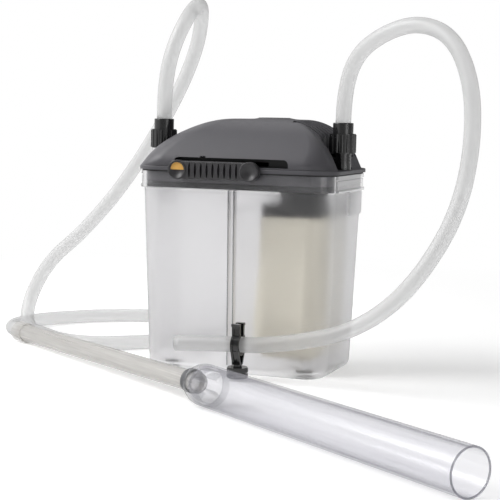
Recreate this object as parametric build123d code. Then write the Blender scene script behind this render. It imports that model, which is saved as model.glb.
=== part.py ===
from build123d import *
import math
import os

# Canister filter with inner filter bag, two hoses, a hose clamp and a gravel cleaning wand.
# Millimetres. +Z up, -Y is the front with the slide, origin under the middle of the container.

# ---- driving dimensions ----------------------------------------------------------------
flange_width = 218.0          # lid flange, left to right
flange_depth = 142.0          # lid flange, front to back
flange_radius = 27.0          # plan corners of the flange
base_width = 197.0            # container, at its foot
base_depth = 121.0
body_narrowing = 9.0          # how much narrower the container's top is than the flange
container_height = 207.5
rim_height = 17.0             # moulded band round the container's mouth
wall = 2.6
floor_thickness = 5.0
foot_rounding = 9.0           # lower edge of the container
foot_diameter = 19.6
foot_height = 2.5
foot_inset_x = 25.0           # foot centre to the side of the base
foot_inset_y = 24.0
rib_gap = 4.4                 # partition guide, between its two ribs
rib_thickness = 1.5
rib_reach = 6.0
partition_thickness = 4.0
partition_top = 174.0
lug_width = 45.0
lug_height = 25.0
lug_thickness = 3.0
lug_centre_y = 18.0

seal_thickness = 1.5
plate_thickness = 4.0         # lid flange plate
skirt_depth = 12.0
skirt_thickness = 2.4
skirt_clearance = 0.6         # skirt to the container's mouth
crown_height = 51.6           # dome above the flange plate
dome_steps = 5                # sections of the wand cap's dome
dome_inset = 1.0              # dome's front foot inside the flange edge
dome_wall = 2.6
outline_width = 218.0         # lid that the dome's rows below are drawn for
outline_depth = 142.0
recess_inset = 27.5           # inner wall of each hose fitting's recess, from the flange's side
recess_front = 28.5           # recess wall in front of the fitting's axis
recess_back = 22.0
groove_count = 7              # grip grooves across the dome's right shoulder
groove_pitch = 12.0
groove_width = 6.5
groove_depth = 1.2
groove_start = -30.0
groove_inset = 57.0           # where the grooves begin, from the flange's side
vent_count = 6                # cooling slots through the recess wall on the motor's side
vent_pitch = 4.6
vent_width = 2.2
vent_start = -22.0
vent_low = 21.0
gland_x = -30.0               # cable gland in the dome's back
gland_height = 14.0
screw_inset_side = 17.0
screw_inset_front = 21.0
screw_inset_back = 17.0
screw_diameter = 3.2
screw_head = 6.4
screw_length = 14.0

fitting_inset = 9.0           # hose fitting's axis, from the flange's side
fitting_y = -9.5
spigot_diameter = 18.0
spigot_bore = 11.0
branch_diameter = 15.0
branch_height = 9.0           # branch axis above the flange plate
spigot_height = 30.0
nut_diameter = 28.0
nut_height = 20.0
nut_lobes = 14
nut_lift = 17.0               # underside of the nut above the flange plate
sleeve_diameter = 21.0
sleeve_top = 48.0             # top of the hose sleeve above the flange plate
fit_clearance = 0.08          # radial, where a part turns on another
free_clearance = 0.4          # where a part only passes another

pump_offset = 17.0            # pump's axis, inside its duct's
pump_y = 4.0
pump_diameter = 52.0
pump_bore = 44.0
pump_depth = 33.0             # housing below the lid's underside
cover_depth = 12.0            # domed intake cover under the housing
motor_diameter = 32.0
motor_height = 33.0
rotor_diameter = 18.4
rotor_length = 30.0
well_diameter = 19.6
shaft_diameter = 3.0
impeller_diameter = 36.0
impeller_height = 12.0
blade_count = 7
duct_diameter = 11.0
duct_bore = 8.0
duct_offset = 8.5             # duct's axis, inside the recess wall

collar_offset = 2.0           # bag collar's middle, inside the pump's axis
bag_width = 68.0
bag_depth = 90.0
bag_radius = 20.0
bag_height = 134.0
bag_foot_offset = 1.75        # bag's foot, outward from the middle of its chamber
bag_side_room = 18.5          # both sides of the bag's foot together
bag_end_room = 11.5           # each end of the bag's foot
bag_felt = 4.0
collar_height = 11.0

slide_length = 98.0
slide_travel = 26.0
slide_rest_x = -16.0          # middle of the slide when it is closed
slide_thickness = 7.6
slide_bar_height = 18.4
slide_end_diameter = 20.0
slide_grip_count = 9
slide_grip_pitch = 6.4
slot_half_length = 62.0       # pocket that the slide's tongue runs in
slot_low = 1.6                # pocket, above the flange plate
slot_high = 10.0
slot_depth = 8.5
slot_radius = 5.6
notch_x = -33.5               # notch in the pocket's top edge
notch_width = 6.0
notch_height = 1.4
tongue_length = 56.0
tongue_height = 3.4

hose_diameter = 16.0

clamp_x = 18.0
clamp_width = 8.6
clamp_arm = 3.0
channel_width = 4.2           # channel along the outside of each arm
channel_depth = 1.1
clamp_top = 58.0
stem_diameter = 8.0
wheel_diameter = 21.5
wheel_low = 2.6
wheel_height = 11.0

tube_diameter = 39.2
tube_wall = 1.6
tube_length = 356.0
mouth_x = 324.5
mouth_y = -424.5
wand_heading = 144.0          # from the mouth back to the hose, in plan
pipe_diameter = 19.5
pipe_wall = 1.8
pipe_length = 388.0           # outside the reducer, to the hose
pipe_overlap = 7.0            # inside the reducer
pipe_droop = 1.12             # the pipe's far end sinks to the floor, degrees
reducer_plug = 12.0           # inside the wide tube
reducer_neck = 20.0           # domed cap, behind the wide tube
reducer_wall = 2.4
reducer_ribs = 4
collar_ring_diameter = 23.0
collar_ring_width = 7.4
tail_diameter = 22.6
tail_length = 10.0
tail_overlap = 12.0           # over the pipe
tail_stop = 10.0              # bore past the hose's end

# dome outline at rising heights: height, left, right, front, back,
# then the corner radii from front left round to back left
dome_rows = [
    (0.0, -108.3, 104.5, -70.0, 70.0, (26, 26, 26, 26)),
    (10.5, -99.8, 99.4, -69.0, 69.5, (26, 22, 25, 25)),
    (20.0, -92.0, 94.0, -62.5, 69.0, (26, 15, 23, 23)),
    (30.0, -79.5, 86.0, -54.5, 68.5, (26, 9, 20, 20)),
    (40.0, -61.0, 74.5, -44.0, 66.0, (24, 6, 18, 18)),
    (46.5, -43.0, 62.0, -32.5, 60.0, (18, 4, 14, 14)),
    (50.0, -13.0, 43.0, -19.0, 50.0, (10, 3, 9, 9)),
    (crown_height, 6.0, 27.0, -6.0, 38.0, (4, 2, 4, 4))]

# ---- sizes that follow from them ---------------------------------------------------------
recess_wall_x = flange_width / 2 - recess_inset
fitting_x = flange_width / 2 - fitting_inset
duct_x = recess_wall_x - duct_offset
pump_x = duct_x - pump_offset
bag_x = pump_x - collar_offset
rim_bottom = container_height - rim_height
plate_bottom = container_height + seal_thickness
deck = plate_bottom + plate_thickness
mouth_width = flange_width - 13.0
mouth_depth = flange_depth - 13.0
mouth_radius = flange_radius - 6.5
skirt_width = mouth_width - 2 * skirt_clearance
skirt_span = mouth_depth - 2 * skirt_clearance
skirt_radius = mouth_radius - skirt_clearance
slide_z = deck - 2.8
slide_back = -flange_depth / 2 - 0.6
hose_end_z = deck + sleeve_top
pump_bottom = plate_bottom - pump_depth
cover_bottom = pump_bottom - cover_depth
collar_top = pump_bottom - 0.5
bag_top = collar_top - collar_height
hose_y = -85.0
hose_z = 36.6


# ---- small helpers -------------------------------------------------------------------------
def plate(width, depth, radius, low, high):
    """Rounded rectangular plate between two heights."""
    return extrude(Plane.XY.offset(low) * RectangleRounded(width, depth, radius), high - low)


def rod(x, y, low, high, diameter):
    """Upright cylinder between two heights."""
    return Pos(x, y, (low + high) / 2) * Cylinder(diameter / 2, high - low)


def ring(x, y, low, high, outer, inner):
    return rod(x, y, low, high, outer) - rod(x, y, low - 1, high + 1, inner)


def block(x0, x1, y0, y1, z0, z1):
    return Pos((x0 + x1) / 2, (y0 + y1) / 2, (z0 + z1) / 2) * Box(x1 - x0, y1 - y0, z1 - z0)


def lying(x0, x1, y, z, diameter):
    """Cylinder that lies along X."""
    return Pos((x0 + x1) / 2, y, z) * Rot(0, 90, 0) * Cylinder(diameter / 2, abs(x1 - x0))


def ribbed(x, y, low, high, diameter, count, depth):
    """Round grip with rounded upright ribs."""
    body = rod(x, y, low, high, diameter - depth)
    for turn in range(count):
        angle = 2 * math.pi * turn / count
        reach = diameter / 2 - depth
        rib_x = x + reach * math.cos(angle)
        rib_y = y + reach * math.sin(angle)
        body += rod(rib_x, rib_y, low + 0.8, high - 0.8, 2 * depth)
    return body


def save(node, shape):
    shape = shape if isinstance(shape, Compound) else Compound(children=[shape])
    export_step(shape, "parts/" + node + ".step")


def group(solids):
    return Compound(children=[solid for solid in solids])


# ---- container -------------------------------------------------------------------------------
def body_section(z, inset):
    """Outline of the drafted container body at a height."""
    share = z / rim_bottom
    width = base_width + (flange_width - body_narrowing - base_width) * share
    depth = base_depth + (flange_depth - body_narrowing - base_depth) * share
    radius = flange_radius - 3.0 - inset
    return Plane.XY.offset(z) * RectangleRounded(width - 2 * inset, depth - 2 * inset, radius)


def cavity(inset, low, high):
    """Drafted solid inside the container's wall."""
    return loft([body_section(low, inset), body_section(high, inset)])


def foot_places():
    x = base_width / 2 - foot_inset_x
    y = base_depth / 2 - foot_inset_y
    return [(-x, -y), (x, -y), (-x, y), (x, y)]


def lug(side):
    """Rounded finger lug that hangs from the rim at one end."""
    outer = flange_width / 2 - 1.5
    tab = Pos(0, lug_centre_y, rim_bottom - lug_height / 2 + 1) * Box(2 * outer, lug_width, lug_height + 2)
    tab = fillet(tab.edges().filter_by(Axis.X).group_by(Axis.Z)[0], 6.0)
    slice_low = outer - lug_thickness
    keep = block(slice_low, outer + 1, -flange_depth, flange_depth, 0, container_height)
    return (tab & keep) if side > 0 else (tab & mirror(keep, Plane.YZ))


def make_container():
    outer = loft([body_section(0, 0), body_section(rim_bottom, 0)])
    outer = fillet(outer.edges().group_by(Axis.Z)[0], foot_rounding)
    layers = ((0.0, 2.5, 1.0), (2.5, 12.0, 2.2), (12.0, 13.6, 3.4), (13.6, rim_height, 1.6))
    for low, high, inset in layers:
        outer += plate(flange_width - 2 * inset, flange_depth - 2 * inset, flange_radius - inset,
                       rim_bottom + low, rim_bottom + high)
    outer += lug(1) + lug(-1)
    inner = cavity(wall, floor_thickness, rim_bottom + 0.01)
    inner = fillet(inner.edges().group_by(Axis.Z)[0], foot_rounding - wall)
    shell = outer - inner
    shell -= plate(mouth_width, mouth_depth, mouth_radius, rim_bottom, container_height + 1)
    guides = cavity(wall - 0.2, floor_thickness - 0.2, rim_bottom)
    guides -= cavity(wall + rib_reach, floor_thickness - 1, rim_bottom + 1)
    for side in (-1, 1):
        near = rib_gap / 2
        far = near + rib_thickness
        low, high = sorted((side * near, side * far))
        shell += guides & block(low, high, -flange_depth, flange_depth, 0, rim_bottom)
    for x, y in foot_places():
        shell -= rod(x, y, -1, foot_height, foot_diameter + 0.2)
    return shell


def make_feet():
    return group([rod(x, y, 0, foot_height, foot_diameter) for x, y in foot_places()])


def make_partition():
    clear = wall + 0.25
    sheet = block(-partition_thickness / 2, partition_thickness / 2, -flange_depth, flange_depth,
                  floor_thickness, partition_top)
    space = cavity(clear, floor_thickness, rim_bottom)
    space = fillet(space.edges().group_by(Axis.Z)[0], foot_rounding - wall)
    sheet = sheet & space
    for place in (-32, 0, 32):
        sheet -= block(-9, 9, place - 11, place + 11, floor_thickness + 6, floor_thickness + 20)
    grip = Plane(origin=(0, 0, partition_top - 14), x_dir=(0, 1, 0), z_dir=(1, 0, 0)) * SlotOverall(40, 14)
    return sheet - extrude(grip, 9, both=True)


# ---- lid -------------------------------------------------------------------------------------
def screw_places():
    side = flange_width / 2 - screw_inset_side
    front = screw_inset_front - flange_depth / 2
    rear = flange_depth / 2 - screw_inset_back
    return [(-side, rear - 10), (side, rear - 6), (-52, front), (52, front), (-40, rear), (40, rear)]


def make_lid_base():
    base = plate(flange_width, flange_depth, flange_radius, plate_bottom, deck)
    base = fillet(base.edges().group_by(Axis.Z)[-1], 1.0)
    skirt = plate(skirt_width, skirt_span, skirt_radius, plate_bottom - skirt_depth, plate_bottom)
    skirt -= plate(skirt_width - 2 * skirt_thickness, skirt_span - 2 * skirt_thickness,
                   skirt_radius - skirt_thickness, plate_bottom - skirt_depth - 1, plate_bottom)
    base += skirt
    stiffener = plate_bottom - 4
    for y in (-40, 42):
        base += block(-skirt_width / 2 + 1, skirt_width / 2 - 1, y - 1, y + 1, stiffener, plate_bottom)
    for x in (-60, -20, 18):
        base += block(x - 1, x + 1, -40, 42, stiffener, plate_bottom)
    base -= rod(pump_x, pump_y, stiffener - 1, plate_bottom, pump_diameter + 1)
    base -= rod(pump_x, pump_y, plate_bottom - 1, deck + 1, motor_diameter + 0.4)
    for side in (-1, 1):
        base -= rod(side * duct_x, fitting_y, stiffener - 1, deck + 1, duct_diameter + 0.2)
    for x, y in screw_places():
        base -= rod(x, y, stiffener - 1, deck + 1, screw_diameter + 0.3)
        base -= rod(x, y, stiffener - 1, plate_bottom, screw_head + 1.0)
    return base


def make_seal():
    band = plate(flange_width - 5, flange_depth - 5, flange_radius - 2.5, container_height, plate_bottom)
    inner_gap = 0.3
    return band - plate(skirt_width + 2 * inner_gap, skirt_span + 2 * inner_gap, skirt_radius + inner_gap,
                        container_height - 1, plate_bottom + 1)


def dome_level(height, left, right, front, back, corners, inset):
    """Outline of the dome at one height, with its own radius at each corner."""
    wider = flange_width / outline_width
    deeper = flange_depth / outline_depth
    left, right = left * wider + inset, right * wider - inset
    front, back = front * deeper + inset, back * deeper - inset
    front_left, front_right, back_right, back_left = [max(radius - inset, 0.8) for radius in corners]

    def bend(x, y, radius, start):
        turns = [math.radians(start + step) for step in (0, 45, 90)]
        return ThreePointArc(*[(x + radius * math.cos(turn), y + radius * math.sin(turn)) for turn in turns])

    outline = [
        Line((left + front_left, front), (right - front_right, front)),
        bend(right - front_right, front + front_right, front_right, 270),
        Line((right, front + front_right), (right, back - back_right)),
        bend(right - back_right, back - back_right, back_right, 0),
        Line((right - back_right, back), (left + back_left, back)),
        bend(left + back_left, back - back_left, back_left, 90),
        Line((left, back - back_left), (left, front + front_left)),
        bend(left + front_left, front + front_left, front_left, 180)]
    return Plane.XY.offset(deck + height - inset) * make_face(outline)


def dome_solid(inset):
    """Domed body: low slope on the left, fuller over the motor on the right, upright at the back."""
    return loft([dome_level(*row, inset) for row in dome_rows])


def recess(side, spread):
    """Space round one hose fitting, open outward and upward."""
    inner = recess_wall_x - spread
    front = fitting_y - recess_front - spread
    back = fitting_y + recess_back + spread
    middle = (inner + flange_width) / 2
    box = Pos(side * middle, (front + back) / 2, deck + crown_height)
    box = box * Box(flange_width - inner, back - front, 2 * crown_height)
    near = 1 if side < 0 else 0
    edges = box.edges().filter_by(Axis.Z).group_by(Axis.X)
    return fillet(edges[-1] if near else edges[0], 7.0)


def slide_pocket(spread):
    face_y = -flange_depth / 2
    low = deck + slot_low - spread
    high = deck + slot_high + spread
    reach = slot_half_length + spread
    box = block(-reach, reach, face_y - 1, face_y + dome_inset + slot_depth + spread, low, high)
    pocket = fillet(box.edges().filter_by(Axis.Y).group_by(Axis.Z)[-1], slot_radius)
    middle = notch_x - spread
    return pocket + block(middle, notch_x + notch_width + spread, face_y - 1,
                          face_y + dome_inset + slot_depth + spread, high - 1, high + notch_height)


def make_dome():
    outer = dome_solid(0)
    hollow = dome_solid(dome_wall)
    for side in (-1, 1):
        outer -= recess(side, 0)
        hollow -= recess(side, dome_wall)
    outer -= slide_pocket(0)
    hollow -= slide_pocket(2.0)
    dome = outer - hollow
    for side in (-1, 1):
        x = side * recess_wall_x
        dome -= lying(x - side * 8, x + side * 3, fitting_y, deck + branch_height, branch_diameter + 0.4)
    reach = tongue_length / 2 + free_clearance
    middle = tongue_z()
    face_y = -flange_depth / 2 + dome_inset + slot_depth
    dome -= block(slide_rest_x - reach, slide_rest_x + slide_travel + reach, face_y - 1, face_y + 6,
                  middle - tongue_height / 2 - free_clearance, middle + tongue_height / 2 + free_clearance)
    for x, y in screw_places():
        post = rod(x, y, deck, deck + crown_height + 10, 8.0) & dome_solid(0.5)
        dome += post
        dome -= rod(x, y, deck - 1, deck + screw_length - plate_thickness + 1, screw_diameter)
    dome -= gland_axis(flange_depth / 2 - 20, flange_depth / 2 + 5, 9.4)
    skin = dome_solid(0) - dome_solid(groove_depth)
    for step in range(groove_count):
        y = groove_start + groove_pitch * step
        dome -= skin & block(flange_width / 2 - groove_inset, flange_width / 2, y, y + groove_width,
                             deck + 12, deck + 80)
    for step in range(vent_count):
        y = vent_start + vent_pitch * step
        dome -= block(recess_wall_x - dome_wall - 0.4, recess_wall_x + 1, y, y + vent_width,
                      deck + vent_low, deck + crown_height)
    return dome


def gland_axis(y0, y1, diameter):
    return Pos(gland_x, (y0 + y1) / 2, deck + gland_height) * Rot(90, 0, 0) * Cylinder(diameter / 2, y1 - y0)


def make_cable_gland():
    back = flange_depth / 2 - dome_inset - 0.2
    body = gland_axis(back - 6, back + 1, 9.0) + gland_axis(back, back + 1.8, 14)
    return body - gland_axis(back - 10, back + 10, 5.0)


def make_screws():
    screws = []
    for x, y in screw_places():
        head = plate_bottom
        screw = rod(x, y, head - 2.4, head, screw_head)
        screw += rod(x, y, head, head + screw_length, screw_diameter - 0.1)
        screw -= block(x - 0.5, x + 0.5, y - 2.2, y + 2.2, head - 3, head - 1.2)
        screw -= block(x - 2.2, x + 2.2, y - 0.5, y + 0.5, head - 3, head - 1.2)
        screws.append(screw)
    return group(screws)


# ---- hose fittings ---------------------------------------------------------------------------
def make_elbow(side):
    """Ringed spigot that leaves the recess wall and turns upward."""
    x = side * fitting_x
    low = deck + 0.4
    top = deck + spigot_height
    barrel = rod(x, fitting_y, low, top, spigot_diameter)
    for step in range(3):
        z = deck + nut_lift - 3.4 - 3.2 * step
        barrel -= ring(x, fitting_y, z, z + 1.5, spigot_diameter + 4, spigot_diameter - 1.8)
    axis_z = deck + branch_height
    inner = side * (recess_wall_x - dome_wall - 0.3)
    barrel += lying(inner, x, fitting_y, axis_z, branch_diameter)
    barrel -= rod(x, fitting_y, axis_z - 2, top + 1, spigot_bore)
    barrel -= lying(inner - side * 1, x, fitting_y, axis_z, spigot_bore)
    return barrel


def make_nut(side):
    x = side * fitting_x
    low = deck + nut_lift
    high = low + nut_height
    nut = ribbed(x, fitting_y, low, high, nut_diameter, nut_lobes, 1.7)
    nut -= rod(x, fitting_y, low - 1, high + 1, spigot_diameter + 2 * fit_clearance)
    nut -= rod(x, fitting_y, deck + spigot_height - 0.6, high - 2.5, sleeve_diameter + 3.4)
    nut -= rod(x, fitting_y, low + 5, high + 1, sleeve_diameter + 2 * free_clearance)
    return nut


def make_sleeve(side):
    """Collar that the nut holds on the spigot; the hose leaves its top."""
    x = side * fitting_x
    low = deck + spigot_height
    sleeve = rod(x, fitting_y, low, low + 3.0, sleeve_diameter + 2.6)
    sleeve += rod(x, fitting_y, low, hose_end_z, sleeve_diameter)
    sleeve = fillet(sleeve.edges().group_by(Axis.Z)[-1], 0.8)
    return sleeve - rod(x, fitting_y, low - 1, hose_end_z + 1, spigot_bore)


def make_duct(side):
    """Riser from the lid's underside that turns out to the elbow."""
    x = side * duct_x
    axis_z = deck + branch_height
    outer = side * (recess_wall_x - dome_wall - 0.4)
    duct = rod(x, fitting_y, plate_bottom - 3, axis_z + 5, duct_diameter)
    duct += lying(x, outer, fitting_y, axis_z, duct_diameter)
    duct -= rod(x, fitting_y, plate_bottom - 4, axis_z, duct_bore)
    duct -= lying(x, outer + side * 1, fitting_y, axis_z, duct_bore)
    return duct


# ---- pump ------------------------------------------------------------------------------------
rotor_low = plate_bottom - 6.0
impeller_low = rotor_low - 2.0 - impeller_height


def make_motor():
    """Sealed stator pot with the rotor's well open below."""
    flange = rod(pump_x, pump_y, plate_bottom - 3.0, plate_bottom, pump_bore - 0.8)
    pot = flange + rod(pump_x, pump_y, plate_bottom - 3.0, plate_bottom + motor_height, motor_diameter)
    pot = fillet(pot.edges().group_by(Axis.Z)[-1], 2.0)
    well_top = rotor_low + rotor_length + 3.0
    pot -= rod(pump_x, pump_y, plate_bottom - 4, well_top, well_diameter)
    return pot - rod(duct_x, fitting_y, plate_bottom - 4, plate_bottom, duct_diameter + 1)


def make_rotor():
    magnet = ring(pump_x, pump_y, rotor_low, rotor_low + rotor_length, rotor_diameter, shaft_diameter + 0.12)
    return magnet


def make_impeller():
    top = rotor_low
    hub = rod(pump_x, pump_y, impeller_low, top, 9.0)
    hub += rod(pump_x, pump_y, top - 2.0, top, impeller_diameter - 6)
    blade_low = impeller_low
    for turn in range(blade_count):
        blade = block(3.0, impeller_diameter / 2, -0.8, 0.8, blade_low, top - 1.5)
        hub += Pos(pump_x, pump_y, 0) * Rot(0, 0, 360 * turn / blade_count) * blade
    return hub - rod(pump_x, pump_y, impeller_low - 1, top + 1, shaft_diameter + 0.12)


shaft_low = pump_bottom - 2.0
shaft_high = rotor_low + rotor_length + 3.0


def make_shaft():
    return rod(pump_x, pump_y, shaft_low, shaft_high - 0.4, shaft_diameter)


def make_bushes():
    upper = ring(pump_x, pump_y, shaft_high - 2.6, shaft_high, 8.0, shaft_diameter + 0.1)
    lower = ring(pump_x, pump_y, shaft_low, impeller_low - 0.3, 8.0, shaft_diameter + 0.1)
    return group([upper, lower])


def make_pump_housing():
    """Volute cup under the lid, with the discharge boss on its right."""
    cup = rod(pump_x, pump_y, pump_bottom, plate_bottom, pump_diameter)
    cup += rod(duct_x, fitting_y, pump_bottom + 12, plate_bottom, duct_diameter + 4)
    cup -= rod(pump_x, pump_y, pump_bottom - 1, plate_bottom + 1, pump_bore)
    cup -= rod(duct_x, fitting_y, plate_bottom - 3.2, plate_bottom + 1, duct_diameter + 0.2)
    cup -= rod(duct_x, fitting_y, pump_bottom + 15, plate_bottom, duct_bore)
    web = ring(pump_x, pump_y, pump_bottom, pump_bottom + 2, pump_bore + 1, 16)
    return cup + web


def make_pump_cover():
    """Domed intake cover with radial slots, and a flange that the bag collar rests on."""
    cover = rod(pump_x, pump_y, cover_bottom, pump_bottom, pump_diameter)
    cover = fillet(cover.edges().group_by(Axis.Z)[0], 8.0)
    cover += rod(pump_x, pump_y, pump_bottom - 5.5, pump_bottom - 3, pump_diameter + 8)
    cover -= rod(pump_x, pump_y, cover_bottom + 3, pump_bottom + 1, 34)
    for turn in range(10):
        slot = block(5.5, 15.5, -1.4, 1.4, cover_bottom - 1, cover_bottom + 6)
        cover -= Pos(pump_x, pump_y, 0) * Rot(0, 0, 36 * turn) * slot
    hub = ring(pump_x, pump_y, cover_bottom + 1.0, pump_bottom - 2, 11.0, 4.0)
    cover += hub + rod(pump_x, pump_y, cover_bottom + 1, pump_bottom - 3, 4.2)
    return cover


# ---- filter bag ------------------------------------------------------------------------------
def make_bag_collar():
    """Frame that clips round the pump's housing and carries the bag."""
    top = collar_top
    low = top - collar_height
    centre = Pos(bag_x, 0, 0)
    frame = centre * plate(bag_width, bag_depth, bag_radius, low, top)
    frame -= centre * plate(bag_width - 5, bag_depth - 5, bag_radius - 2.5, low - 1, top - 2.5)
    frame -= rod(pump_x, pump_y, low - 1, top + 1, pump_diameter + 0.6)
    for side_x in (-1, 1):
        for side_y in (-1, 1):
            frame -= rod(bag_x + side_x * 16, side_y * 35, low - 1, top + 1, 8)
    return frame


def bag_outline(z, share, inset):
    """Bag's outline, from share 0 at the collar to share 1 at its foot."""
    foot_width = base_width / 2 - bag_side_room
    foot_depth = base_depth - 2 * bag_end_room
    foot_x = base_width / 4 + bag_foot_offset
    width = bag_width + (foot_width - bag_width) * share - 2 * inset
    depth = bag_depth + (foot_depth - bag_depth) * share - 2 * inset
    return Pos(bag_x + (foot_x - bag_x) * share, 0, z) * RectangleRounded(width, depth, bag_radius - inset)


def make_bag():
    """Felt bag with an open top, a little fuller at its foot."""
    top = bag_top
    low = top - bag_height
    outer = loft([bag_outline(low, 1, 0), bag_outline(top, 0, 0)])
    outer = fillet(outer.edges().group_by(Axis.Z)[0], 6.0)
    inner = loft([bag_outline(low + bag_felt, 1, bag_felt), bag_outline(top + 1, 0, bag_felt)])
    return outer - inner


# ---- control slide ---------------------------------------------------------------------------
def tongue_z():
    return deck + (slot_low + slot_high) / 2 - 1.0


def slide_end(side):
    return slide_rest_x + side * (slide_length - slide_end_diameter) / 2


def on_front(sketch, y, depth):
    """Sketch in X and Z, extruded backward from y by depth."""
    return extrude(Plane(origin=(0, y, 0), x_dir=(1, 0, 0), z_dir=(0, -1, 0)) * sketch, -depth)


def make_slide():
    front = slide_back - slide_thickness
    middle = slide_end(1) - slide_end(-1)
    bar = on_front(Pos(slide_rest_x, slide_z) * Rectangle(middle, slide_bar_height), front + 1.0,
                   slide_thickness - 1.0)
    bar = fillet(bar.edges().filter_by(Axis.X).group_by(Axis.Y)[0], 1.6)
    for side in (-1, 1):
        disc = Pos(slide_end(side), slide_z) * Circle(slide_end_diameter / 2)
        disc = on_front(disc, front, slide_thickness)
        bar += fillet(disc.edges().group_by(Axis.Y)[0], 0.8)
        ball = slide_end_diameter * 0.62
        dip = Pos(slide_end(side), front - ball + 3.6, slide_z) * Sphere(ball)
        bar -= dip
    first = slide_rest_x - slide_grip_pitch * (slide_grip_count - 1) / 2 + 0.2
    for step in range(slide_grip_count):
        x = first + slide_grip_pitch * step
        half = slide_bar_height / 2 - 1.2
        lens = make_face([
            ThreePointArc((x, slide_z - half), (x + 1.35, slide_z), (x, slide_z + half)),
            ThreePointArc((x, slide_z + half), (x - 1.35, slide_z), (x, slide_z - half))])
        bar -= on_front(lens, front, 4.2)
    half_disc = Circle(slide_end_diameter / 2 - 2.4) & (Pos(0, 10) * Rectangle(40, 20))
    bar -= on_front(Pos(slide_end(-1), slide_z) * half_disc, front, 5.0)
    pocket_wall = -flange_depth / 2 + dome_inset + slot_depth
    bar += block(slide_rest_x - tongue_length / 2, slide_rest_x + tongue_length / 2, slide_back - 0.5,
                 pocket_wall + 2.6, tongue_z() - tongue_height / 2, tongue_z() + tongue_height / 2)
    return bar


def make_indicator():
    front = slide_back - slide_thickness
    half_disc = Circle(slide_end_diameter / 2 - 2.4) & (Pos(0, 10) * Rectangle(40, 20))
    return on_front(Pos(slide_end(-1), slide_z) * half_disc, front + 2.2, 2.8)


def make_keeper():
    """Plate on the end of the slide's tongue, inside the dome."""
    wall_y = -flange_depth / 2 + dome_inset + slot_depth + 2.6
    half = tongue_length / 2
    return block(slide_rest_x - half - 2, slide_rest_x + half + 2, wall_y, wall_y + 2,
                 tongue_z() - 3.6, tongue_z() + 4.6)


# ---- hoses -----------------------------------------------------------------------------------
inlet_route = [
    (-fitting_x, fitting_y, hose_end_z), (-fitting_x, fitting_y, 298), (-93, -5, 338),
    (-83, 14, 374), (-85, 50, 389), (-97, 86, 376), (-110, 102, 338), (-138, 102, 276), (-196, 102, 186), (-254, 102, 122), (-296, 101, 88),
    (-322, 98, 42), (-312, 70, 8), (-266, 36, 8), (-232, 8, 8), (-190, 4, 8), (-154, 28, 8),
    (-122, 62, 8), (-86, 106, 8), (-44, 146, 8), (-48, 204, 8), (-104, 238, 8), (-175, 238, 8),
    (-248, 222, 8), (-306, 172, 8), (-332, 106, 9.5)]
outlet_route = [
    (fitting_x, fitting_y, hose_end_z), (fitting_x, fitting_y, 292), (113, -15, 330),
    (146, -27, 352), (184, -38, 361), (221, -53, 346), (244, -69, 300), (248, -79, 240), (239, -92, 180), (213, -100, 128),
    (180, -101, 88), (138, -94, 60), (92, -87, 46), (44, -85, 37.1), (-3, -85, 36.1), (-50, -85, 33)]


def fitted(route):
    """Radius of each corner: as large as its two runs leave room for."""
    radii = []
    for before, corner, after in zip(route, route[1:], route[2:]):
        inward = Vector(*corner) - Vector(*before)
        outward = Vector(*after) - Vector(*corner)
        shorter = min(inward.length, outward.length)
        radii.append(0.45 * shorter / math.tan(math.radians(inward.get_angle(outward)) / 2))
    return radii


def make_hose(name, route):
    radii = fitted(route)
    path = FilletPolyline(*route, radius=radii)
    start = Plane(origin=path @ 0, z_dir=path % 0)
    tube = sweep(start * Circle(hose_diameter / 2), path=path)
    print(name, "radii", [round(radius) for radius in radii])
    section = math.pi * hose_diameter ** 2 / 4
    print(name, "length", round(path.length), "volume ratio", round(tube.volume / (section * path.length), 4))
    return tube


# ---- hose clamp ------------------------------------------------------------------------------
def make_clamp():
    """Sprung fork round the hose on a threaded stem."""
    inner = hose_diameter / 2 + 0.45
    outer = inner + clamp_arm
    neck_z = hose_z - 20.5
    eye = Circle(outer) - Circle(inner)
    arms = Sketch() + eye
    for side in (-1, 1):
        low_part = Polygon((side * 1.2, neck_z - hose_z), (side * 3.9, neck_z - hose_z),
                           (side * (outer - 1.2), -5.4), (side * (inner - 1.7), -7.4), align=None)
        high_part = Polygon((side * 3.2, 7.4), (side * 6.4, 9.2), (side * 7.0, clamp_top - hose_z),
                            (side * 3.6, clamp_top - hose_z), align=None)
        lip = Polygon((side * 3.6, clamp_top - hose_z - 3), (side * 8.8, clamp_top - hose_z - 2.4),
                      (side * 8.8, clamp_top - hose_z), (side * 3.6, clamp_top - hose_z), align=None)
        arms = arms + low_part + high_part + lip
    arms = arms - Circle(inner)
    arms = arms - Pos(0, 14) * Rectangle(5.6, 24)
    side_plane = Plane(origin=(clamp_x, hose_y, hose_z), x_dir=(0, 1, 0), z_dir=(1, 0, 0))
    fork = extrude(side_plane * arms, clamp_width / 2, both=True)
    channel = Circle(outer + 2) - Circle(outer - channel_depth) - Rectangle(11.6, 4 * outer)
    channel = channel & (Pos(0, 1) * Rectangle(4 * outer, 14))
    for side in (-1, 1):
        channel += Polygon((side * 5.5, 9.0), (side * 9, 9.0), (side * 9, clamp_top - hose_z - 4.6),
                           (side * 5.9, clamp_top - hose_z - 4.6), align=None)
        channel += Polygon((side * (outer - 2.2), -5.8), (side * (outer + 2), -5.8),
                           (side * 6, neck_z - hose_z + 2), (side * 3.2, neck_z - hose_z + 2), align=None)
    fork -= extrude(side_plane * channel, channel_width / 2, both=True)
    fork += rod(clamp_x, hose_y, wheel_low + 0.4, neck_z + 2.2, stem_diameter)
    for step in range(2):
        z = wheel_low + wheel_height - 1.6 + 1.4 * step
        fork += rod(clamp_x, hose_y, z + 1.9, z + 2.5, stem_diameter + 0.9)
    return fork


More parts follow.
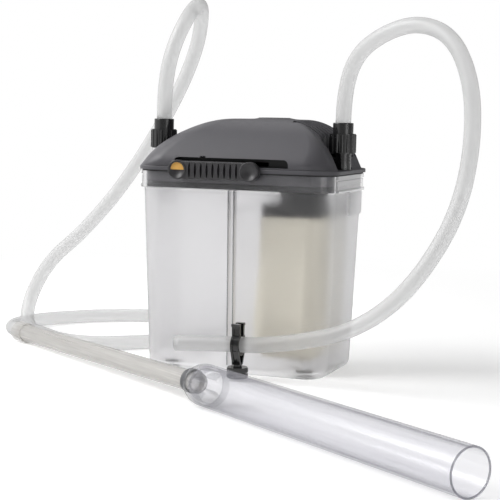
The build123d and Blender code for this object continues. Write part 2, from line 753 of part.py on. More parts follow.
def make_wheel():
    low = wheel_low
    wheel = ribbed(clamp_x, hose_y, low, low + wheel_height, wheel_diameter, 20, 1.1)
    wheel -= ring(clamp_x, hose_y, low + 4.6, low + 6.2, wheel_diameter + 4, wheel_diameter - 4.5)
    return wheel - rod(clamp_x, hose_y, low - 1, low + wheel_height + 1, stem_diameter + 2 * fit_clearance)


# ---- gravel cleaning wand --------------------------------------------------------------------
heading = math.radians(wand_heading)
back = (math.cos(heading), math.sin(heading))
tube_z = tube_diameter / 2
joint_x = mouth_x + tube_length * back[0]
joint_y = mouth_y + tube_length * back[1]
tube_plane = Plane(origin=(joint_x, joint_y, tube_z), x_dir=(-back[1], back[0], 0),
                   z_dir=(back[0], back[1], 0))
droop = math.radians(pipe_droop)
pipe_plane = Plane(origin=(joint_x, joint_y, tube_z), x_dir=(-back[1], back[0], 0),
                   z_dir=(back[0] * math.cos(droop), back[1] * math.cos(droop), -math.sin(droop)))


def along(plane, start, end, diameter):
    """Cylinder on a wand axis, from start to end behind the wide tube's rear edge."""
    return extrude(plane.offset(start) * Circle(diameter / 2), end - start)


def make_wand_tube():
    tube = along(tube_plane, -tube_length, 0, tube_diameter)
    tube -= along(tube_plane, -tube_length - 1, 1, tube_diameter - 2 * tube_wall)
    return tube - along(tube_plane, -reducer_plug, 1, tube_diameter - 2 * tube_wall + 0.4)


def cap_dome(radius, end_radius, length):
    """Elliptic dome behind the wide tube, cut off where its radius has shrunk to end_radius."""
    reach = length / math.sqrt(1 - (end_radius / radius) ** 2)
    sections = []
    for step in range(dome_steps + 1):
        distance = length * math.sin(math.pi / 2 * step / dome_steps)
        sections.append(tube_plane.offset(distance) * Circle(radius * math.sqrt(1 - (distance / reach) ** 2)))
    return loft(sections)


def make_reducer():
    """Domed cap that joins the thin pipe to the wide tube, with ribs round the pipe's mouth."""
    plug_diameter = tube_diameter - 2 * tube_wall + 0.1
    ring_radius = collar_ring_diameter / 2
    mouth = reducer_neck - pipe_overlap
    body = along(tube_plane, -reducer_plug + 0.2, 0.1, plug_diameter)
    body += cap_dome(tube_diameter / 2, ring_radius, reducer_neck)
    body -= along(tube_plane, -reducer_plug - 1, 0, plug_diameter - 2 * reducer_wall)
    hollow = cap_dome(plug_diameter / 2 - reducer_wall, pipe_diameter / 2 - 1, mouth)
    body -= hollow
    for turn in range(reducer_ribs):
        rib = Rectangle(plug_diameter, 1.4) & (Pos(plug_diameter / 4, 0) * Rectangle(plug_diameter / 2, 3))
        rib = Rot(0, 0, 360 * (turn + 0.5) / reducer_ribs) * (rib - Circle(pipe_diameter / 2 - 2))
        body += extrude(tube_plane.offset(-reducer_plug + 4) * rib, reducer_plug - 4 + mouth) & (
            hollow + along(tube_plane, -reducer_plug, 0.1, plug_diameter - 2))
    return body - along(pipe_plane, mouth, reducer_neck + 5, pipe_diameter + 0.3)


def make_wand_collar():
    low = reducer_neck
    band = along(tube_plane, low, low + collar_ring_width, collar_ring_diameter)
    return band - along(pipe_plane, low - 5, low + 20, pipe_diameter + 0.3)


def make_pipe():
    start = reducer_neck - pipe_overlap
    pipe = along(pipe_plane, start, reducer_neck + pipe_length - tail_length, pipe_diameter)
    return pipe - along(pipe_plane, -100, pipe_length + 100, pipe_diameter - 2 * pipe_wall)


def make_tail():
    """Socket ring on the pipe's end that the hose is pushed into."""
    start = reducer_neck + pipe_length - tail_length
    tail = along(pipe_plane, start - tail_overlap, start + tail_length, tail_diameter)
    tail -= along(pipe_plane, start - tail_overlap - 1, start, pipe_diameter + 0.3)
    return tail - along(pipe_plane, start - 1, start + tail_length + 1, tail_stop)


def behind_wand(distance):
    """Point on the wand's axis, behind the end that the hose meets."""
    point = pipe_plane.offset(reducer_neck + pipe_length + distance).origin
    return (point.X, point.Y, point.Z)


# ---- write every node ------------------------------------------------------------------------
os.makedirs("parts", exist_ok=True)
save("container", make_container())
save("rubber_feet", make_feet())
save("partition_plate", make_partition())
save("lid_base", make_lid_base())
save("lid_seal", make_seal())
save("lid_dome", make_dome())
save("lid_screws", make_screws())
save("cable_gland", make_cable_gland())
for name, side in (("inlet", -1), ("outlet", 1)):
    save(name + "_elbow", make_elbow(side))
    save(name + "_nut", make_nut(side))
    save(name + "_sleeve", make_sleeve(side))
    save(name + "_duct", make_duct(side))
save("motor_pot", make_motor())
save("rotor_magnet", make_rotor())
save("impeller", make_impeller())
save("impeller_shaft", make_shaft())
save("shaft_bushes", make_bushes())
save("pump_housing", make_pump_housing())
save("pump_cover", make_pump_cover())
save("bag_collar", make_bag_collar())
save("filter_bag", make_bag())
save("control_slide", make_slide())
save("slide_indicator", make_indicator())
save("slide_keeper", make_keeper())
inlet_route += [behind_wand(36), behind_wand(0.2)]
print("hose ends at the wand", inlet_route[-2:])
save("inlet_hose", make_hose("inlet", inlet_route))
save("outlet_hose", make_hose("outlet", outlet_route))
save("clamp_fork", make_clamp())
save("clamp_wheel", make_wheel())
save("wand_tube", make_wand_tube())
save("wand_reducer", make_reducer())
save("wand_collar", make_wand_collar())
save("wand_pipe", make_pipe())
save("wand_tail", make_tail())
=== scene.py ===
import math

import bmesh
import bpy
from mathutils import Matrix, Vector
from mathutils import noise as smooth_noise


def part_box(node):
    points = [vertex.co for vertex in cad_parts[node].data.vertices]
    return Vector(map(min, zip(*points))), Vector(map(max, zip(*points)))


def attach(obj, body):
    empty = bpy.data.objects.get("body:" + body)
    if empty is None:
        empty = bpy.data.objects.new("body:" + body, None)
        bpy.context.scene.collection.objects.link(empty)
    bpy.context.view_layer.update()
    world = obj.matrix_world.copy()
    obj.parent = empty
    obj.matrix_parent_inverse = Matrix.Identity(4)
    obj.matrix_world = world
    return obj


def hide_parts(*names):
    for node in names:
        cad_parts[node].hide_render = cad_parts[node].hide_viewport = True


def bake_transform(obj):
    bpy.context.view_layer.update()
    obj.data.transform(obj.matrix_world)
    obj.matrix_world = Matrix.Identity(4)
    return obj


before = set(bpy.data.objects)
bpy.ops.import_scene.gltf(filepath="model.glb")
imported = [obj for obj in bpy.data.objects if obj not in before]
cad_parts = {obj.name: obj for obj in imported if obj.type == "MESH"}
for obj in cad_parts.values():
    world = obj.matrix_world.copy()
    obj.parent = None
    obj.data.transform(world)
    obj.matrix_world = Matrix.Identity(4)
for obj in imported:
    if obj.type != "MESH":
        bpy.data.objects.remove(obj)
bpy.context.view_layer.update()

scene = bpy.context.scene
scene.view_settings.view_transform = "Standard"

# ---- camera ------------------------------------------------------------------------------
CAMERA_PLACE = Vector((0.5097, -1.3918, 0.2719))
CAMERA_TURN = math.radians(20.2)
CAMERA_DIP = math.radians(5.7)
CAMERA_ROLL = math.radians(1.2)

ahead = Vector((-math.sin(CAMERA_TURN) * math.cos(CAMERA_DIP),
                math.cos(CAMERA_TURN) * math.cos(CAMERA_DIP), -math.sin(CAMERA_DIP)))
level_right = Vector((math.cos(CAMERA_TURN), math.sin(CAMERA_TURN), 0))
level_up = level_right.cross(ahead)
right = level_right * math.cos(CAMERA_ROLL) + level_up * math.sin(CAMERA_ROLL)
up = level_up * math.cos(CAMERA_ROLL) - level_right * math.sin(CAMERA_ROLL)
camera_data = bpy.data.cameras.new("camera")
camera_data.lens = 100.8
camera_data.sensor_width = 36
camera = bpy.data.objects.new("camera", camera_data)
camera.matrix_world = Matrix.Translation(CAMERA_PLACE) @ Matrix((right, up, -ahead)).transposed().to_4x4()
scene.collection.objects.link(camera)
scene.camera = camera


# ---- mesh helpers ------------------------------------------------------------------------
def add_object(name, vertices, faces, material, body, smooth=True):
    """New mesh object that rides on a body."""
    mesh = bpy.data.meshes.new(name)
    mesh.from_pydata([tuple(v) for v in vertices], [], faces)
    mesh.validate()
    made = bmesh.new()
    made.from_mesh(mesh)
    bmesh.ops.recalc_face_normals(made, faces=made.faces)
    made.to_mesh(mesh)
    made.free()
    if smooth:
        mesh.shade_smooth()
    mesh.materials.append(material)
    piece = bpy.data.objects.new(name, mesh)
    scene.collection.objects.link(piece)
    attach(piece, body)
    return piece


def spline_line(route):
    """Points along the smooth spline that a route's points control."""
    curve = bpy.data.curves.new("route", "CURVE")
    curve.dimensions = "3D"
    curve.resolution_u = 14
    spline = curve.splines.new("NURBS")
    spline.points.add(len(route) - 1)
    for point, place in zip(spline.points, route):
        point.co = (*place, 1)
    spline.order_u = 3
    spline.use_endpoint_u = True
    holder = bpy.data.objects.new("route", curve)
    mesh = bpy.data.meshes.new_from_object(holder)
    points = [v.co.copy() for v in mesh.vertices]
    bpy.data.objects.remove(holder)
    bpy.data.meshes.remove(mesh)
    return points


def frames_along(points):
    """Directions across a line of points, turned as little as possible from one to the next."""
    count = len(points)
    steps = [(points[min(i + 1, count - 1)] - points[max(i - 1, 0)]).normalized() for i in range(count)]
    side = steps[0].orthogonal().normalized()
    frames = []
    for step in steps:
        side = (side - step * side.dot(step)).normalized()
        frames.append((side, step.cross(side)))
    return frames


def hollow_tube(name, points, outer, inner, sides, material, body, bore_material=None):
    """Tube with a wall, open from end to end, with a flat rim at each end."""
    frames = frames_along(points)
    vertices = []
    for radius in (outer, inner):
        for point, (side, other) in zip(points, frames):
            for turn in range(sides):
                angle = 2 * math.pi * turn / sides
                vertices.append(point + radius * (side * math.cos(angle) + other * math.sin(angle)))
    rings = len(points)
    faces = []
    for wall in range(2):
        start = wall * rings * sides
        for row in range(rings - 1):
            for turn in range(sides):
                following = (turn + 1) % sides
                near, far = start + row * sides, start + (row + 1) * sides
                faces.append((near + turn, near + following, far + following, far + turn))
    for row in (0, rings - 1):
        for turn in range(sides):
            following = (turn + 1) % sides
            near, far = row * sides, (rings + row) * sides
            faces.append((near + turn, near + following, far + following, far + turn))
    tube = add_object(name, vertices, faces, material, body)
    if bore_material is not None:
        tube.data.materials.append(bore_material)
        bore = range(rings * sides, 2 * rings * sides)
        for face in tube.data.polygons:
            if all(v in bore for v in face.vertices):
                face.material_index = 1
    return tube


# ---- materials ---------------------------------------------------------------------------
def linear(value):
    """Display colour to scene colour."""
    return value / 12.92 if value <= 0.04045 else ((value + 0.055) / 1.055) ** 2.4


def colour(red, green, blue):
    """Display colour from 0 to 255, with alpha."""
    return tuple(linear(v / 255) for v in (red, green, blue)) + (1.0,)


class Shader:
    """Short names for building the node tree of a material or a world."""

    def __init__(self, owner, output="OutputMaterial"):
        self.owner = owner
        self.owner.use_nodes = True
        self.tree = self.owner.node_tree
        self.tree.nodes.clear()
        self.output = self.tree.nodes.new("ShaderNode" + output)
        self.place = None

    def node(self, kind, **sockets):
        made = self.tree.nodes.new("ShaderNode" + kind)
        for key, value in sockets.items():
            socket = made.inputs[key.replace("_", " ")]
            if isinstance(value, bpy.types.NodeSocket):
                self.tree.links.new(value, socket)
            else:
                socket.default_value = value
        return made

    def where(self):
        """Place on the object, in metres."""
        if self.place is None:
            self.place = self.node("TexCoord").outputs["Object"]
        return self.place

    def stretched(self, scale, turn=(0, 0, 0)):
        """Place with each turned axis drawn out by a factor."""
        made = self.node("Mapping", Vector=self.where())
        made.vector_type = "TEXTURE"
        made.inputs["Scale"].default_value = scale
        made.inputs["Rotation"].default_value = turn
        return made.outputs["Vector"]

    def noise(self, scale, detail=2.0, rough=0.5, vector=None):
        made = self.node("TexNoise", Scale=scale, Detail=detail, Roughness=rough)
        self.tree.links.new(self.where() if vector is None else vector, made.inputs["Vector"])
        return made.outputs["Fac"]

    def spread(self, value, low, high, from_low=0.3, from_high=0.7):
        """Stretches a value from one range to another."""
        made = self.node("MapRange", Value=value)
        made.inputs["From Min"].default_value = from_low
        made.inputs["From Max"].default_value = from_high
        made.inputs["To Min"].default_value = low
        made.inputs["To Max"].default_value = high
        return made.outputs["Result"]

    def maths(self, operation, a, b=0.0):
        made = self.tree.nodes.new("ShaderNodeMath")
        made.operation = operation
        for socket, value in zip(made.inputs, (a, b)):
            if isinstance(value, bpy.types.NodeSocket):
                self.tree.links.new(value, socket)
            else:
                socket.default_value = value
        return made.outputs[0]

    def mix(self, share, first, second):
        """Colour between two colours."""
        made = self.tree.nodes.new("ShaderNodeMix")
        made.data_type = "RGBA"
        for socket, value in ((made.inputs[0], share), (made.inputs[6], first), (made.inputs[7], second)):
            if isinstance(value, bpy.types.NodeSocket):
                self.tree.links.new(value, socket)
            else:
                socket.default_value = value
        return made.outputs[2]

    def inside(self, low, high):
        """1 within a box on the object and 0 outside it."""
        place = self.node("SeparateXYZ", Vector=self.where())
        share = 1.0
        for axis, start, end in zip("XYZ", low, high):
            above = self.maths("GREATER_THAN", place.outputs[axis], start)
            below = self.maths("LESS_THAN", place.outputs[axis], end)
            share = self.maths("MULTIPLY", share, self.maths("MULTIPLY", above, below))
        return share

    def bump(self, height, depth, strength=1.0):
        return self.node("Bump", Height=height, Distance=depth, Strength=strength).outputs["Normal"]

    def blend(self, share, first, second):
        """Shader between two shaders."""
        made = self.node("MixShader", Fac=share)
        self.tree.links.new(first, made.inputs[1])
        self.tree.links.new(second, made.inputs[2])
        return made.outputs[0]

    def grazing(self, power):
        """0 where a surface faces the viewer and 1 at its edge, the same from both of its sides."""
        return self.maths("POWER", self.node("LayerWeight", Blend=0.5).outputs["Facing"], power)

    def show(self, shader):
        self.tree.links.new(shader, self.output.inputs["Surface"])
        return self.owner


def new_shader(name):
    return Shader(bpy.data.materials.new(name))


# Painted shade: near-black colour painted inside the slide's pocket, in place of the shadow in that recess.
POCKET_PAINTED_SHADE = colour(12, 12, 13)


def scaled(tint, factor):
    return tuple(min(v * factor, 1.0) for v in tint[:3]) + (1.0,)


def moulded(name, tint, rough, grain=1500, depth=0.00004, drift=0.06, shine=0.35, metallic=0.0,
            painted_shade_box=None):
    """Moulded plastic or rubber: fine grain, slow colour drift and uneven gloss, and painted shade inside a box
    where one is given.
    """
    s = new_shader(name)
    slow = s.noise(14, 3)
    fine = s.noise(grain, 2)
    scuffs = s.noise(160, 4, 0.65)
    base = s.mix(s.spread(slow, 0, 1), scaled(tint, 1 - drift), scaled(tint, 1 + drift))
    speckle_and_painted_shade = s.mix(s.spread(fine, 0.0, 0.10), base, scaled(tint, 1.7))
    if painted_shade_box is not None:
        # Painted shade: inside the box the colour turns near-black, standing in for the shadow in a recess.
        speckle_and_painted_shade = s.mix(s.inside(*painted_shade_box), speckle_and_painted_shade, POCKET_PAINTED_SHADE)
    gloss = s.spread(scuffs, rough - 0.05, rough + 0.07)
    normal = s.bump(fine, depth)
    shader = s.node("BsdfPrincipled", Base_Color=speckle_and_painted_shade, Roughness=gloss, Normal=normal,
                    Metallic=metallic, Specular_IOR_Level=shine)
    return s.show(shader.outputs[0])


def clear_plastic(name, tint, edge, edge_power, edge_share, milk=0.0, milk_colour=(0.8, 0.8, 0.8, 1),
                  gloss=0.06, mirror=0.45, drawn=(1, 1, 1), turn=(0, 0, 0), grain=9, unevenness=0.15):
    """Clear plastic: light passes the middle, and the thick edges show grey and glossy; the grey is partly the
    thick wall and partly painted shade, a diffuse grey at grazing angles in place of the darker surroundings the
    edges show.
    """
    s = new_shader(name)
    haze = s.noise(grain, 3, 0.55, s.stretched(drawn, turn))
    through = s.node("BsdfTransparent", Color=tint)
    # Painted shade: a diffuse grey mixed in towards the edges, standing in for the darker surroundings seen in
    # them.
    painted_edge_shade = s.node("BsdfDiffuse", Color=edge)
    low, high = 1 - unevenness, 1 + unevenness
    rim = s.maths("MULTIPLY", s.grazing(edge_power), s.spread(haze, edge_share * low, edge_share * high))
    body = s.blend(rim, through.outputs[0], painted_edge_shade.outputs[0])
    if milk:
        pale = s.node("BsdfDiffuse", Color=milk_colour)
        glow = s.node("BsdfTranslucent", Color=milk_colour)
        cloud = s.blend(0.5, pale.outputs[0], glow.outputs[0])
        body = s.blend(s.spread(haze, milk * low, milk * high), body, cloud)
    shine = s.node("BsdfGlossy", Color=(1, 1, 1, 1), Roughness=s.spread(haze, gloss * 0.7, gloss * 1.5))
    share = s.maths("ADD", s.maths("MULTIPLY", s.grazing(4.0), mirror), 0.03)
    return s.show(s.blend(share, body, shine.outputs[0]))


def frosted(name, tint, milk_colour, milk, edge, rough, lamps=0.95):
    """Frosted shell with a polished mouth: blurs what is behind it and lets lamps through."""
    s = new_shader(name)
    cloud = s.noise(24, 3)
    fine = s.noise(900, 2)
    height = s.node("SeparateXYZ", Vector=s.where()).outputs["Z"]
    polished = s.spread(height, 0.0, 1.0, POLISHED_FROM, POLISHED_FROM + 0.002)
    etched = s.spread(fine, rough - 0.02, rough + 0.02)
    blur = s.maths("ADD", etched, s.maths("MULTIPLY", polished, 0.12 - rough))
    # The tint is a little darker from 13 cm down to the bottom.
    toned = s.mix(s.spread(height, 0.0, 1.0, 0.0, 0.13), scaled(tint, 0.955), tint)
    glass = s.node("BsdfPrincipled", Base_Color=s.mix(s.spread(cloud, 0, 1), toned, scaled(tint, 0.97)),
                   Roughness=blur, Transmission_Weight=1.0, IOR=1.2)
    diffuse = s.node("BsdfDiffuse", Color=milk_colour)
    glow = s.node("BsdfTranslucent", Color=milk_colour)
    cloudy = s.blend(0.5, diffuse.outputs[0], glow.outputs[0])
    shell = s.blend(s.spread(cloud, milk * 0.85, milk * 1.15), glass.outputs[0], cloudy)
    # Painted shade: a diffuse grey mixed in towards the silhouette, standing in for the darker surroundings seen
    # in the shell's edges.
    side = s.node("BsdfDiffuse", Color=edge)
    shell = s.blend(s.maths("MULTIPLY", s.grazing(5.0), 0.45), shell, side.outputs[0])
    shine = s.node("BsdfGlossy", Color=(1, 1, 1, 1), Roughness=s.spread(fine, 0.10, 0.16))
    mirror = s.maths("MULTIPLY", s.grazing(3.0), s.spread(polished, 0.16, 0.5, 0.0, 1.0))
    shell = s.blend(s.maths("ADD", mirror, 0.012), shell, shine.outputs[0])
    passed = s.node("BsdfTransparent", Color=(lamps, lamps, lamps, 1))
    return s.show(s.blend(s.node("LightPath").outputs["Is Shadow Ray"], shell, passed.outputs[0]))


def felt(name, tint):
    """Needled polyester felt: short fibres in every direction, soft hollows, faint streaks of use."""
    s = new_shader(name)
    fibres = s.noise(2600, 4, 0.7, s.stretched((1, 1, 3), (0.3, 0.5, 0.2)))
    crossed = s.noise(1900, 3, 0.6, s.stretched((3, 1, 1), (0.1, 0.2, 0.7)))
    lumps = s.noise(220, 3)
    slow = s.noise(18, 2)
    shade = s.mix(s.spread(slow, 0, 1), tint, scaled(tint, 0.92))
    shade = s.mix(s.spread(fibres, 0, 0.22), shade, scaled(tint, 0.66))
    coarse = s.maths("ADD", s.maths("MULTIPLY", crossed, 0.3), lumps)
    height = s.maths("ADD", s.maths("MULTIPLY", fibres, 0.5), coarse)
    normal = s.bump(height, 0.0006, 0.8)
    shader = s.node("BsdfPrincipled", Base_Color=shade, Roughness=0.94, Sheen_Weight=0.3, Sheen_Roughness=0.5,
                    Normal=normal)
    glow = s.node("BsdfTranslucent", Color=shade, Normal=normal)
    return s.show(s.blend(0.2, shader.outputs[0], glow.outputs[0]))


WAND_HEADING = math.radians(144)
WAND_TURN = (0, 0, WAND_HEADING)
LENGTHWISE = (30, 1, 1)       # how far the grain is drawn out along the wand
POLISHED_FROM = 0.1885        # the container's rim is polished and its body is etched
# Box of the slide's pocket in the lid; the lid plastic gets painted shade inside it.
POCKET_LOW = (-0.0624, -0.0686, 0.2143)
POCKET_HIGH = (0.0624, -0.050, 0.2232)
lid_plastic = moulded("lid_plastic", colour(86, 85, 89), 0.42, painted_shade_box=(POCKET_LOW, POCKET_HIGH))
slide_plastic = moulded("slide_plastic", colour(62, 61, 63), 0.34, grain=2400, depth=0.00002)
fitting_black = moulded("fitting_black", colour(17, 17, 18), 0.16, depth=0.00002, shine=0.6)
indicator_orange = moulded("indicator_orange", colour(244, 186, 100), 0.35, drift=0.03)
clamp_dark = moulded("clamp_dark", colour(15, 15, 16), 0.16, depth=0.00003, shine=0.7)
foot_rubber = moulded("foot_rubber", colour(30, 30, 32), 0.75, grain=1200, depth=0.0001)
seal_rubber = moulded("seal_rubber", colour(50, 50, 52), 0.6)
wand_dark = moulded("wand_dark", colour(84, 85, 88), 0.35)
steel = moulded("steel", colour(190, 190, 192), 0.3, depth=0.00002, metallic=1.0)
ceramic = moulded("ceramic", colour(236, 234, 228), 0.3)
motor_resin = moulded("motor_resin", colour(28, 28, 30), 0.45)
magnet = moulded("magnet", colour(52, 50, 52), 0.5)
pump_plastic = moulded("pump_plastic", colour(18, 18, 20), 0.45)
bag_felt = felt("felt", colour(240, 235, 219))
divider_plastic = clear_plastic("divider_plastic", (0.992, 0.992, 0.992, 1), colour(225, 225, 227), 2.0, 0.12,
                                milk=0.01, mirror=0.08)
hose_clear = clear_plastic("hose_clear", (0.94, 0.94, 0.94, 1), colour(136, 136, 138), 2.8, 0.60, milk=0.38,
                           milk_colour=colour(238, 238, 238), gloss=0.36, mirror=0.16, grain=14, unevenness=0.05)
hose_bore = clear_plastic("hose_bore", (0.965, 0.965, 0.965, 1), colour(190, 190, 192), 3.0, 0.12, milk=0.0,
                          gloss=0.45, mirror=0.0, grain=14, unevenness=0.05)
tube_clear = clear_plastic("tube_clear", (0.968, 0.967, 0.976, 1), colour(140, 140, 150), 3.4, 0.42, milk=0.035,
                           milk_colour=colour(214, 214, 224), gloss=0.2, mirror=0.25, drawn=LENGTHWISE,
                           turn=WAND_TURN, grain=140, unevenness=0.5)
wand_grey = clear_plastic("wand_grey", (0.95, 0.95, 0.955, 1), colour(120, 120, 126), 4.0, 0.5, milk=0.02,
                          milk_colour=colour(210, 210, 214))
pipe_frosted = clear_plastic("pipe_frosted", (0.945, 0.943, 0.94, 1), colour(132, 131, 130), 2.2, 0.45, milk=0.36,
                             milk_colour=colour(238, 236, 233), gloss=0.2, drawn=LENGTHWISE, turn=WAND_TURN,
                             grain=150, unevenness=0.3)
edge_grey = clear_plastic("edge_grey", (0.8, 0.8, 0.81, 1), colour(150, 150, 160), 1.5, 0.6, milk=0.35,
                          milk_colour=colour(170, 170, 180))
rib_grey = clear_plastic("rib_grey", (0.7, 0.7, 0.705, 1), colour(150, 150, 152), 2.0, 0.5, milk=0.25,
                         milk_colour=colour(178, 178, 180))
frosted_shell = frosted("frosted_shell", (0.868, 0.865, 0.872, 1), colour(222, 221, 224), 0.03,
                        colour(112, 112, 114), 0.46)

NODE_MATERIALS = {
    "container": frosted_shell, "rubber_feet": foot_rubber, "partition_plate": divider_plastic,
    "lid_base": lid_plastic, "lid_seal": seal_rubber, "lid_dome": lid_plastic, "lid_screws": steel,
    "cable_gland": fitting_black, "inlet_elbow": fitting_black, "outlet_elbow": fitting_black,
    "inlet_nut": fitting_black, "outlet_nut": fitting_black, "inlet_sleeve": fitting_black,
    "outlet_sleeve": fitting_black, "inlet_duct": pump_plastic, "outlet_duct": pump_plastic,
    "motor_pot": motor_resin, "rotor_magnet": magnet, "impeller": pump_plastic, "impeller_shaft": ceramic,
    "shaft_bushes": seal_rubber, "pump_housing": pump_plastic, "pump_cover": pump_plastic,
    "bag_collar": pump_plastic, "filter_bag": bag_felt, "control_slide": slide_plastic,
    "slide_indicator": indicator_orange, "slide_keeper": pump_plastic, "inlet_hose": hose_clear,
    "outlet_hose": hose_clear, "clamp_fork": clamp_dark, "clamp_wheel": clamp_dark, "wand_tube": tube_clear,
    "wand_reducer": wand_grey, "wand_collar": wand_dark, "wand_pipe": pipe_frosted, "wand_tail": pipe_frosted}
for node, material in NODE_MATERIALS.items():
    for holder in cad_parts[node].material_slots:
        holder.material = material

# ---- hoses -------------------------------------------------------------------------------
HOSE_RADIUS = 0.008
HOSE_BORE = 0.006             # radius of the bore
HOSE_SIDES = 32
inlet_route = [
    (-0.1, -0.0095, 0.261), (-0.1, -0.0095, 0.298), (-0.093, -0.005, 0.338), (-0.083, 0.014, 0.374),
    (-0.085, 0.05, 0.389), (-0.097, 0.086, 0.376), (-0.11, 0.102, 0.338), (-0.138, 0.102, 0.276),
    (-0.196, 0.102, 0.186), (-0.254, 0.102, 0.122), (-0.296, 0.101, 0.088), (-0.322, 0.098, 0.042),
    (-0.312, 0.07, 0.008), (-0.266, 0.036, 0.008), (-0.232, 0.008, 0.008), (-0.19, 0.004, 0.008),
    (-0.154, 0.028, 0.008), (-0.122, 0.062, 0.008), (-0.086, 0.106, 0.008), (-0.044, 0.146, 0.008),
    (-0.048, 0.204, 0.008), (-0.104, 0.238, 0.008), (-0.175, 0.238, 0.008), (-0.248, 0.222, 0.008),
    (-0.306, 0.172, 0.008), (-0.332, 0.106, 0.0095), (-0.322645, 0.045678, 0.010921),
    (-0.293688, 0.02464, 0.011621)]
outlet_route = [
    (0.1, -0.0095, 0.261), (0.1, -0.0095, 0.292), (0.113, -0.015, 0.33), (0.146, -0.027, 0.352),
    (0.184, -0.038, 0.361), (0.221, -0.053, 0.346), (0.244, -0.069, 0.3), (0.248, -0.079, 0.24),
    (0.239, -0.092, 0.18), (0.213, -0.1, 0.128), (0.18, -0.101, 0.088), (0.138, -0.094, 0.06),
    (0.092, -0.087, 0.046), (0.044, -0.085, 0.0371), (-0.003, -0.085, 0.0361), (-0.05, -0.085, 0.033)]

inlet_line = spline_line(inlet_route)
outlet_line = spline_line(outlet_route)
inlet_tube = hollow_tube("inlet_tube", inlet_line, HOSE_RADIUS, HOSE_BORE, HOSE_SIDES, hose_clear, "lid",
                         hose_bore)
outlet_tube = hollow_tube("outlet_tube", outlet_line, HOSE_RADIUS, HOSE_BORE, HOSE_SIDES, hose_clear, "lid",
                          hose_bore)
for tube, node in ((inlet_tube, "inlet_hose"), (outlet_tube, "outlet_hose")):
    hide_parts(node)
inlet_tube.parent = None
inlet_tube.matrix_world = Matrix.Identity(4)
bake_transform(inlet_tube)


# ---- felt bag ----------------------------------------------------------------------------
BAG_SIDES = 112
BAG_TOP = 0.1645
BAG_FOOT = 0.0180
BAG_HEM = 0.009               # doubled felt under the collar
BAG_THICKNESS = 0.003
BAG_SWELL = 0.004             # most that the pressure may move the felt
FOOT_CURVE = 0.012            # rounding between the bag's side and its foot
CURVE_END = 1.4               # drop at which that rounding ends
BAG_CENTRE = Vector((0.0525, 0, 0))
SEAM_ROWS = (3, 37)           # rows that the side seams run over
SEAM_RADIUS = 0.0013
PRESSURE_FRAMES = 20


def rounded_outline(width, depth, radius, turn):
    """Point on a rounded rectangle, for a share of a full turn that starts at the left side's middle."""
    half_x, half_y = width / 2 - radius, depth / 2 - radius
    straight_y, straight_x, arc = 2 * half_y, 2 * half_x, math.pi * radius / 2
    runs = [half_y, arc, straight_x, arc, straight_y, arc, straight_x, arc, half_y]
    left = (turn % 1.0) * sum(runs)
    corners = {1: (-half_x, -half_y, 180), 3: (half_x, -half_y, 270),
               5: (half_x, half_y, 0), 7: (-half_x, half_y, 90)}
    for index, run in enumerate(runs):
        if left <= run or index == len(runs) - 1:
            break
        left -= run
    if index in corners:
        x, y, start = corners[index]
        angle = math.radians(start + 90 * left / run)
        return x + radius * math.cos(angle), y + radius * math.sin(angle)
    if index in (0, 8):
        return -width / 2, (-left if index == 0 else half_y - left)
    if index == 4:
        return width / 2, -half_y + left
    return (-half_x + left, -depth / 2) if index == 2 else (half_x - left, depth / 2)


def bag_point(turn, drop):
    """Place on the bag's outside: drop 0 is the collar, 1 the edge of the foot, 2 the middle of the foot."""
    down = min(drop, 1.0)
    swell = 0.0016 * math.sin(math.pi * down) ** 0.7
    middle_x = 0.054 - 0.003 * down
    width = 0.068 + 0.012 * down + 2 * swell
    depth = 0.090 + 0.008 * down + 2 * swell
    height = BAG_TOP + (BAG_FOOT + FOOT_CURVE - BAG_TOP) * down
    inward = 0.0
    if drop > 1.0:
        bend = min((drop - 1.0) / 0.4, 1.0) * math.pi / 2
        inward = FOOT_CURVE * (1 - math.cos(bend))
        height = BAG_FOOT + FOOT_CURVE - FOOT_CURVE * math.sin(bend)
        if drop > CURVE_END:
            inward = FOOT_CURVE + (depth / 2 - FOOT_CURVE - 0.001) * (drop - CURVE_END) / 0.6
            height += 0.003 * math.sin(math.pi * (drop - CURVE_END) / 0.6)
    across = max(1 - 2 * inward / depth, 0.004)
    narrow = max(1 - 2 * inward / width, 0.004) if drop <= CURVE_END else max(across * 0.98, 0.004)
    radius = 0.020 * min(across, narrow)
    x, y = rounded_outline(width * narrow, depth * across, radius, turn)
    fold = smooth_noise.noise(Vector((x * 34, y * 34, height * 11 + 3)))
    crease = math.sin(turn * 2 * math.pi * 11 + 5 * fold) * math.exp(-down * 7) * 0.0007
    push = 1 + (0.0011 * fold * math.sin(math.pi * min(down * 1.1, 1)) + crease) / 0.04
    return Vector((middle_x + x * push, y * push, height))


